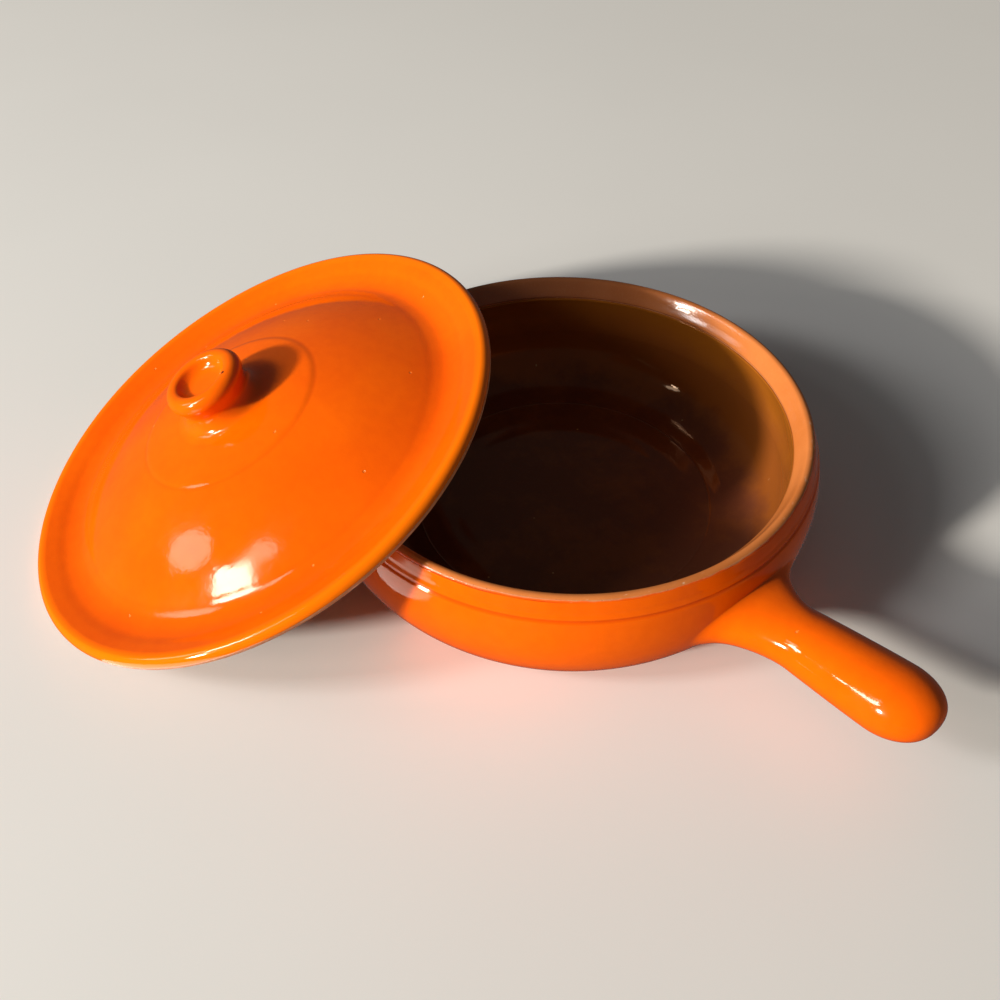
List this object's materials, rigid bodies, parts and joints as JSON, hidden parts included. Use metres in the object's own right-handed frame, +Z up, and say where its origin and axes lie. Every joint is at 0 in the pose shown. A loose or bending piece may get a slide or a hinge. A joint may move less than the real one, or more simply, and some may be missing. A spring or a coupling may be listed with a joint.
{
  "type": "lidded earthenware skillet",
  "caption": "Round glazed earthenware skillet with a stub handle and a domed, knobbed lid that lifts off and leans on the rim.",
  "frame": {"origin": "centre of the pan's flat base, on the table", "axes": "+Z up along the pan's axis, +X along the handle"},
  "size_m": [0.4074, 0.3398, 0.1017],
  "materials": {
    "terracotta": "bare fired clay, satin",
    "orange_glaze": "glossy",
    "brown_glaze": "glossy"
  },
  "bodies": {
    "pan": {"bowl": "terracotta", "handle": "terracotta", "pan_outer_glaze": "orange_glaze", "bowl_inner_glaze": "brown_glaze"},
    "lid": {"lid": "terracotta", "knob": "terracotta", "lid_top_glaze": "orange_glaze", "lid_under_glaze": "brown_glaze"}
  },
  "joints": [
    {"name": "lid_lift", "type": "slide", "parent": "pan", "child": "lid", "axis": [0, 0, 1], "range_m": [0, 0.15]}
  ]
}
